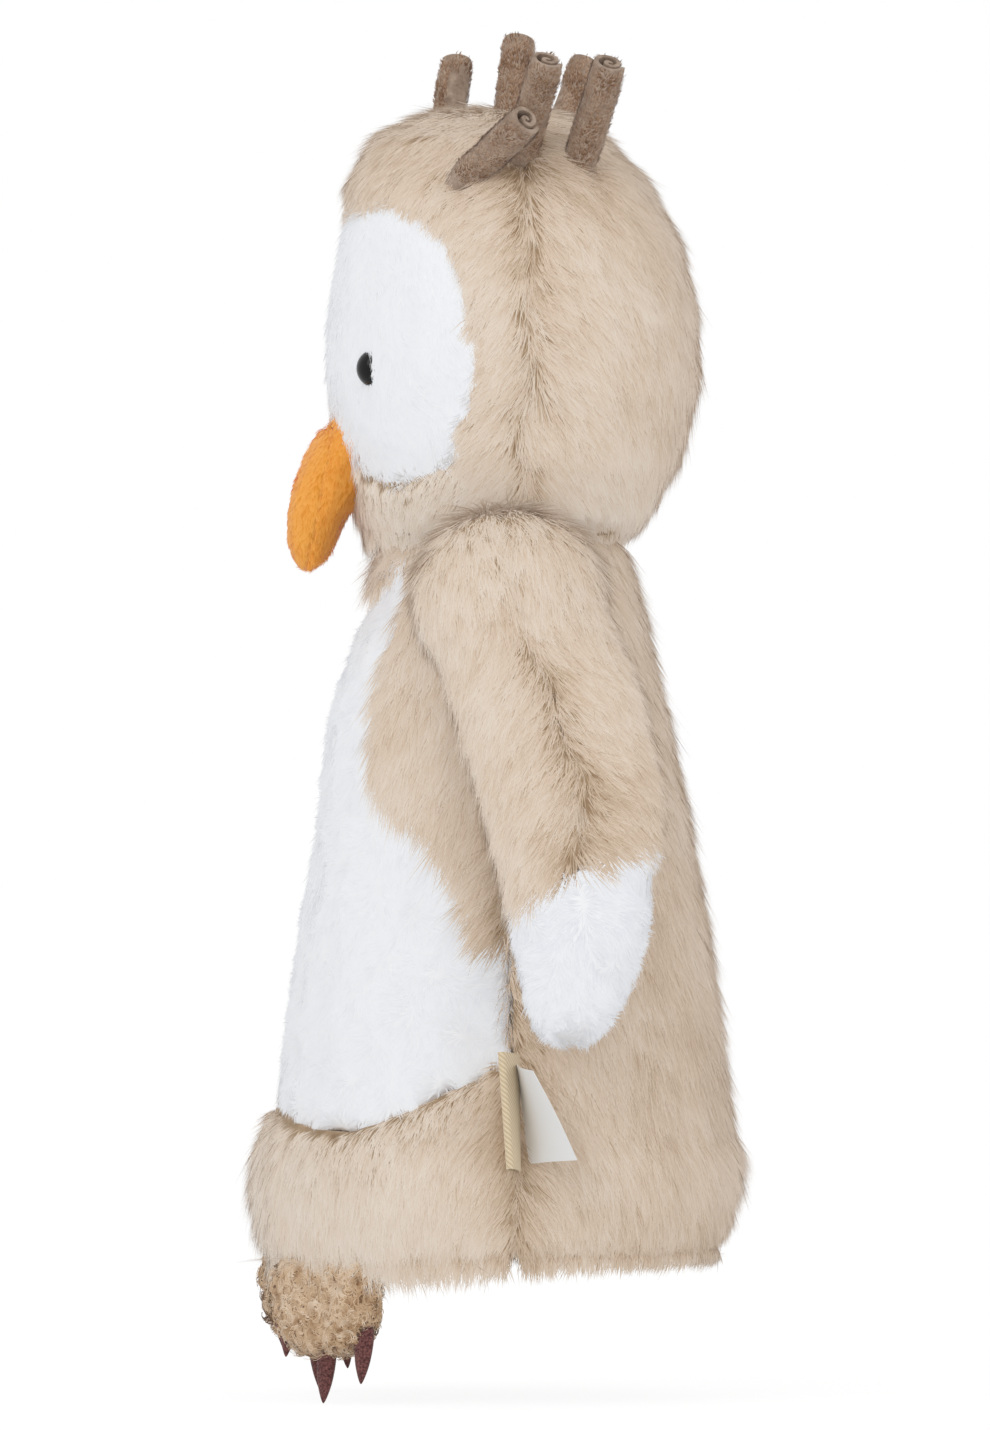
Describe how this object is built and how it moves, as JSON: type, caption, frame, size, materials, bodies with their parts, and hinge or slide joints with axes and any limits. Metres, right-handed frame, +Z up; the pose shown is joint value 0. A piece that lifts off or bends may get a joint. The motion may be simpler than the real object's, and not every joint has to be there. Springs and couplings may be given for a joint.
{
  "type": "owl hand puppet",
  "caption": "Plush owl hand puppet with a stuffed head, finger-pocket wings, dangling feet and an open hem for the hand.",
  "frame": {"origin": "centre of the hand opening, in the plane of the hem", "axes": "+Z up along the body to the head, the owl looks along -Y and its left wing is on +X"},
  "size_m": [0.1736, 0.1262, 0.3561],
  "materials": {
    "long_pile_beige": "long pile faux fur",
    "short_pile_white": "short dense pile faux fur",
    "plush_orange": "short pile plush",
    "plush_amber": "short pile plush",
    "plush_taupe": "short pile plush",
    "curly_pile_tan": "curly pile plush",
    "suede_brown": "suede cloth with a faint glitter",
    "lining_cloth": "plain woven lining",
    "fibre_filling": "loose fibre filling",
    "eye_black": "glossy moulded",
    "washer_white": "plain moulded",
    "ribbon_beige": "ribbed grosgrain ribbon",
    "satin_white": "satin label tape"
  },
  "bodies": {
    "body": {"front_fur": "long_pile_beige", "hem_front_fur": "long_pile_beige", "back_fur": "long_pile_beige", "belly_panel": "short_pile_white", "body_lining": "lining_cloth", "hem_facing": "lining_cloth"},
    "neck": {"finger_sleeve": "lining_cloth"},
    "head": {"head_front_fur": "long_pile_beige", "head_back_fur": "long_pile_beige", "face_panel": "short_pile_white", "eye_left": "eye_black", "eye_right": "eye_black", "eye_washer_left": "washer_white", "eye_washer_right": "washer_white", "beak_top": "plush_orange", "beak_underside": "plush_amber", "beak_filling": "fibre_filling", "head_filling": "fibre_filling", "head_base": "lining_cloth", "ear_roll_left_front": "plush_taupe", "ear_roll_left_middle": "plush_taupe", "ear_roll_left_rear": "plush_taupe", "ear_roll_right_front": "plush_taupe", "ear_roll_right_middle": "plush_taupe", "ear_roll_right_rear": "plush_taupe"},
    "shoulder_left": {"shoulder_lining_left": "lining_cloth"},
    "wing_left": {"wing_left_front_fur": "long_pile_beige", "wing_left_back_fur": "long_pile_beige", "wing_left_tip": "short_pile_white", "wing_left_lining": "lining_cloth"},
    "shoulder_right": {"shoulder_lining_right": "lining_cloth"},
    "wing_right": {"wing_right_front_fur": "long_pile_beige", "wing_right_back_fur": "long_pile_beige", "wing_right_tip": "short_pile_white", "wing_right_lining": "lining_cloth"},
    "foot_left": {"foot_left_top": "curly_pile_tan", "foot_left_sole": "curly_pile_tan", "foot_left_filling": "fibre_filling", "claw_left_inner": "suede_brown", "claw_left_middle": "suede_brown", "claw_left_outer": "suede_brown"},
    "foot_right": {"foot_right_top": "curly_pile_tan", "foot_right_sole": "curly_pile_tan", "foot_right_filling": "fibre_filling", "claw_right_inner": "suede_brown", "claw_right_middle": "suede_brown", "claw_right_outer": "suede_brown"},
    "tag": {"loop_tag": "ribbon_beige"},
    "label": {"care_label": "satin_white"}
  },
  "joints": [
    {"name": "neck_nod", "type": "hinge", "parent": "body", "child": "neck", "pos_m": [0, 0, 0.17], "axis": [1, 0, 0], "range_deg": [-20, 25], "stiffness_Nm_per_rad": 0.3},
    {"name": "head_turn", "type": "hinge", "parent": "neck", "child": "head", "pos_m": [0, 0, 0.17], "axis": [0, 0, 1], "range_deg": [-50, 50], "stiffness_Nm_per_rad": 0.05},
    {"name": "wing_left_raise", "type": "hinge", "parent": "body", "child": "shoulder_left", "pos_m": [0.05276, -0.001, 0.17], "axis": [0, -1, 0], "range_deg": [0, 110]},
    {"name": "wing_left_swing", "type": "hinge", "parent": "shoulder_left", "child": "wing_left", "pos_m": [0.05276, -0.001, 0.17], "axis": [-0.9723, 0.0285, -0.2318], "range_deg": [-30, 70], "stiffness_Nm_per_rad": 0.05},
    {"name": "wing_right_raise", "type": "hinge", "parent": "body", "child": "shoulder_right", "pos_m": [-0.05276, -0.001, 0.17], "axis": [0, 1, 0], "range_deg": [0, 110]},
    {"name": "wing_right_swing", "type": "hinge", "parent": "shoulder_right", "child": "wing_right", "pos_m": [-0.05276, -0.001, 0.17], "axis": [-0.9723, -0.0285, 0.2318], "range_deg": [-30, 70], "stiffness_Nm_per_rad": 0.05},
    {"name": "foot_left_swing", "type": "hinge", "parent": "body", "child": "foot_left", "pos_m": [0.03508, -0.04655, -0.0055], "axis": [-0.7986, -0.6018, 0], "range_deg": [-30, 60]},
    {"name": "foot_right_swing", "type": "hinge", "parent": "body", "child": "foot_right", "pos_m": [-0.03508, -0.04655, -0.0055], "axis": [-0.7986, 0.6018, 0], "range_deg": [-20, 70]},
    {"name": "loop_tag_flip", "type": "hinge", "parent": "body", "child": "tag", "pos_m": [0.06664, 0, 0.03711], "axis": [-0.1046, 0, 0.9945], "range_deg": [-55, 15], "stiffness_Nm_per_rad": 0.0003},
    {"name": "care_label_flip", "type": "hinge", "parent": "body", "child": "label", "pos_m": [0.0664, 0.0019, 0.03708], "axis": [-0.1046, 0, 0.9945], "range_deg": [-25, 30], "stiffness_Nm_per_rad": 0.0003}
  ]
}
